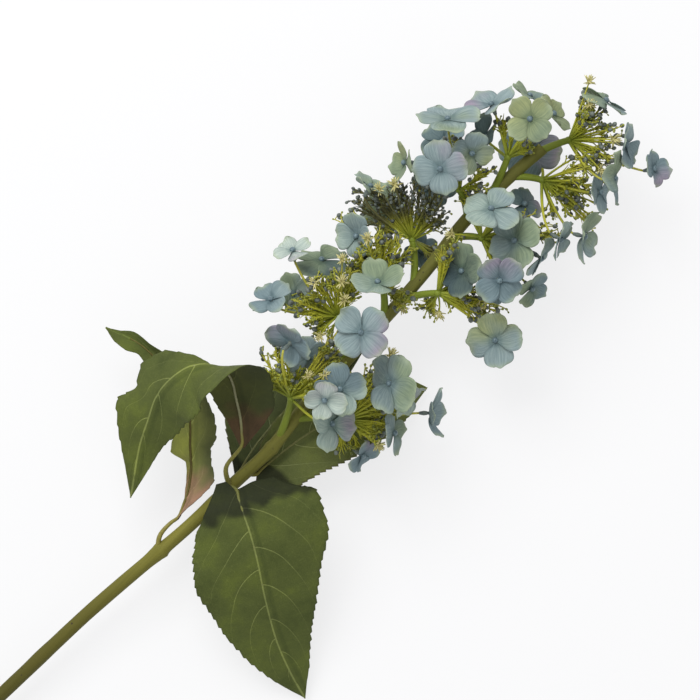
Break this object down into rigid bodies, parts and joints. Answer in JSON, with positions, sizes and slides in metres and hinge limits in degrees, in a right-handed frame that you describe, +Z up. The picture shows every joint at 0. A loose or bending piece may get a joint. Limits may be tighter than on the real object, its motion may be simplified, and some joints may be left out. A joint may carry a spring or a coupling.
{
  "type": "cut hydrangea",
  "caption": "Cut spray of panicle hydrangea lying flat: woody stem, broad toothed leaves and a loose head of forked sprays with small buds and four-petalled blue-green florets.",
  "frame": {"origin": "under the middle of the outer box, on the surface that the spray lies on", "axes": "+X along the stem towards the flower head, +Y across the stem, +Z up"},
  "size_m": [0.694, 0.2654, 0.115],
  "materials": {
    "stem": "matt",
    "leaf": "matt",
    "bud_spray": "matt",
    "petal": "matt"
  },
  "bodies": {
    "root": {"floret_centre_1": "petal", "floret_centre_2": "petal", "floret_centre_3": "petal", "floret_centre_4": "petal", "floret_dark_1": "petal", "floret_dark_2": "petal", "floret_dark_3": "petal", "floret_dark_4": "petal", "floret_fork_1": "petal", "floret_fork_2": "petal", "floret_fork_3": "petal", "floret_fork_4": "petal", "floret_fork_5": "petal", "floret_low_left_1": "petal", "floret_low_left_2": "petal", "floret_low_left_3": "petal", "floret_low_left_4": "petal", "floret_low_left_5": "petal", "floret_low_right_1": "petal", "floret_low_right_2": "petal", "floret_low_right_3": "petal", "floret_low_right_4": "petal", "floret_low_right_5": "petal", "floret_mid_left_1": "petal", "floret_mid_left_2": "petal", "floret_mid_left_3": "petal", "floret_mid_left_4": "petal", "floret_mid_left_5": "petal", "floret_mid_right_1": "petal", "floret_mid_right_2": "petal", "floret_side_1": "petal", "floret_side_2": "petal", "floret_side_3": "petal", "floret_tip_1": "petal", "floret_tip_2": "petal", "floret_tip_3": "petal", "floret_tip_4": "petal", "floret_tip_low_1": "petal", "floret_tip_low_2": "petal", "floret_tip_low_3": "petal", "floret_tip_low_4": "petal", "floret_upper_left_1": "petal", "floret_upper_left_2": "petal", "leaf_arched": "leaf", "leaf_behind": "leaf", "leaf_hanging": "leaf", "leaf_side": "leaf", "leaf_under_arch": "leaf", "spray_centre": "bud_spray", "spray_dark": "bud_spray", "spray_fork": "bud_spray", "spray_low_left": "bud_spray", "spray_low_right": "bud_spray", "spray_mid_left": "bud_spray", "spray_mid_right": "bud_spray", "spray_side": "bud_spray", "spray_tip": "bud_spray", "spray_tip_low": "bud_spray", "spray_upper_left": "bud_spray", "stem": "stem"}
  },
  "joints": []
}
